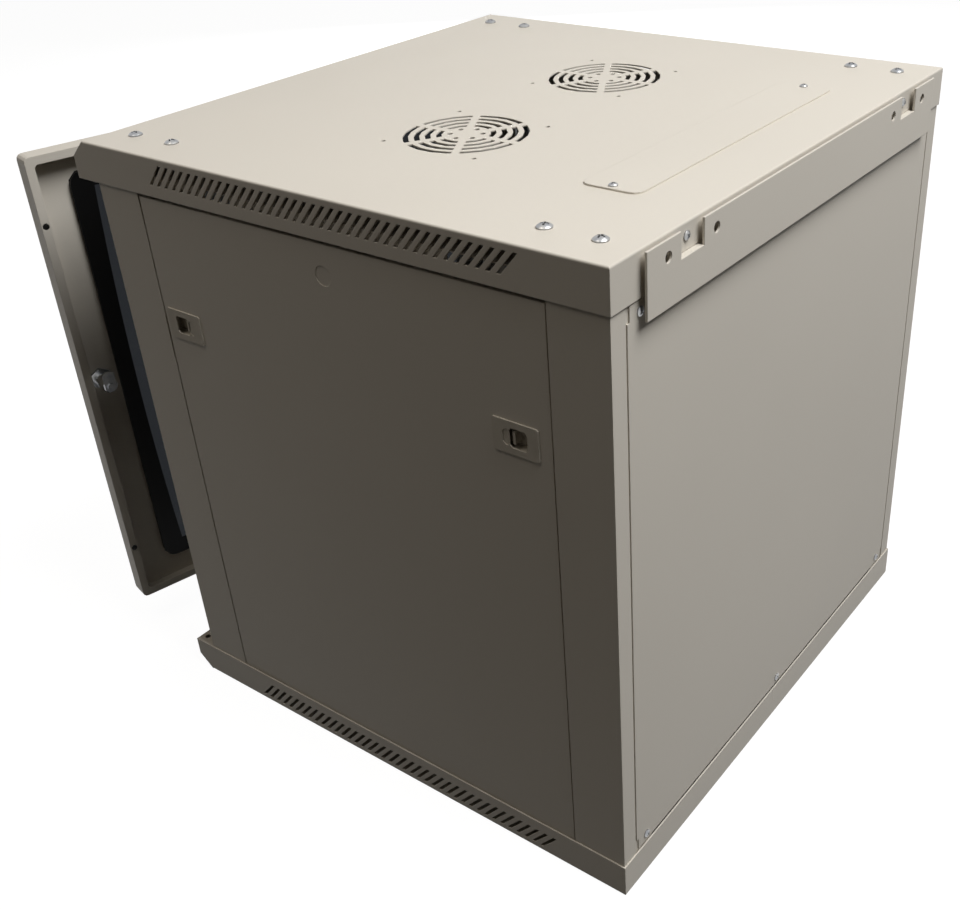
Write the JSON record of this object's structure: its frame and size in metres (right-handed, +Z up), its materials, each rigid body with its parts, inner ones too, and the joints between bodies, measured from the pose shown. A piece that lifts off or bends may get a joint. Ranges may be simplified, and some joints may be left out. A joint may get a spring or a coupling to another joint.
{
  "type": "wall mount network cabinet",
  "caption": "Wall mount cabinet for 19-inch network equipment with a glass door, removable side panels, fan grilles and a wall bracket.",
  "frame": {"origin": "middle of the underside of the base", "axes": "+Z up, the front and its door face -Y, +Y towards the wall, +X to the right seen from the front"},
  "size_m": [0.6004, 0.7483, 0.6391],
  "materials": {
    "coat": "light grey textured powder coat",
    "glass": "toughened, black printed border",
    "tape": "matt foam",
    "zinc": "bright zinc plate",
    "lock_chrome": "polished",
    "latch_plastic": "moulded to match the panels",
    "nylon": "natural"
  },
  "bodies": {
    "root": {"top_cover": "coat", "bottom_cover": "coat", "top_entry_plate": "coat", "bottom_entry_plate": "coat", "front_post_right": "coat", "rear_post_right": "coat", "top_rail_right": "coat", "bottom_rail_right": "coat", "front_rack_rail_right": "zinc", "rear_rack_rail_right": "zinc", "front_post_left": "coat", "rear_post_left": "coat", "top_rail_left": "coat", "bottom_rail_left": "coat", "front_rack_rail_left": "zinc", "rear_rack_rail_left": "zinc", "rack_rail_bolts": "zinc", "rack_rail_nuts": "zinc", "back_panel": "coat", "top_brace": "coat", "bottom_brace": "coat", "wall_bracket": "coat", "cover_screws": "zinc", "base_screws": "zinc", "entry_plate_screws": "zinc", "back_panel_screws": "zinc", "bracket_screws": "zinc", "hinge_washer": "nylon"},
    "door": {"door_frame": "coat", "door_glass": "glass", "glass_tape": "tape", "hinge_block_top": "coat", "hinge_block_bottom": "coat", "hinge_pin_top": "zinc", "hinge_pin_bottom": "zinc", "lock_body": "lock_chrome", "lock_nut": "zinc"},
    "lock": {"lock_plug": "lock_chrome", "lock_cam": "zinc", "cam_screw": "zinc"},
    "side_panel_right": {"side_panel_right": "coat", "latch_case_right_front": "latch_plastic", "latch_case_right_rear": "latch_plastic"},
    "latch_bolt_right_front": {"latch_bolt_right_front": "latch_plastic"},
    "latch_bolt_right_rear": {"latch_bolt_right_rear": "latch_plastic"},
    "side_panel_left": {"side_panel_left": "coat", "latch_case_left_front": "latch_plastic", "latch_case_left_rear": "latch_plastic"},
    "latch_bolt_left_front": {"latch_bolt_left_front": "latch_plastic"},
    "latch_bolt_left_rear": {"latch_bolt_left_rear": "latch_plastic"}
  },
  "joints": [
    {"name": "door_hinge", "type": "hinge", "parent": "root", "child": "door", "pos_m": [-0.29, -0.295, 0.3175], "axis": [0, 0, -1], "range_deg": [-13.5, 166.5]},
    {"name": "lock_turn", "type": "hinge", "parent": "door", "child": "lock", "pos_m": [0.25939, -0.4269, 0.33], "axis": [0.2334, 0.9724, 0], "range_deg": [0, 90]},
    {"name": "side_panel_right_tilt", "type": "hinge", "parent": "root", "child": "side_panel_right", "pos_m": [0.298, 0, 0.0375], "axis": [0, 1, 0], "range_deg": [0, 20]},
    {"name": "latch_bolt_right_front_slide", "type": "slide", "parent": "side_panel_right", "child": "latch_bolt_right_front", "axis": [0, -1, 0], "range_m": [0, 0.01]},
    {"name": "latch_bolt_right_rear_slide", "type": "slide", "parent": "side_panel_right", "child": "latch_bolt_right_rear", "axis": [0, 1, 0], "range_m": [0, 0.01]},
    {"name": "side_panel_left_tilt", "type": "hinge", "parent": "root", "child": "side_panel_left", "pos_m": [-0.298, 0, 0.0375], "axis": [0, -1, 0], "range_deg": [0, 20]},
    {"name": "latch_bolt_left_front_slide", "type": "slide", "parent": "side_panel_left", "child": "latch_bolt_left_front", "axis": [0, -1, 0], "range_m": [0, 0.01]},
    {"name": "latch_bolt_left_rear_slide", "type": "slide", "parent": "side_panel_left", "child": "latch_bolt_left_rear", "axis": [0, 1, 0], "range_m": [0, 0.01]}
  ]
}
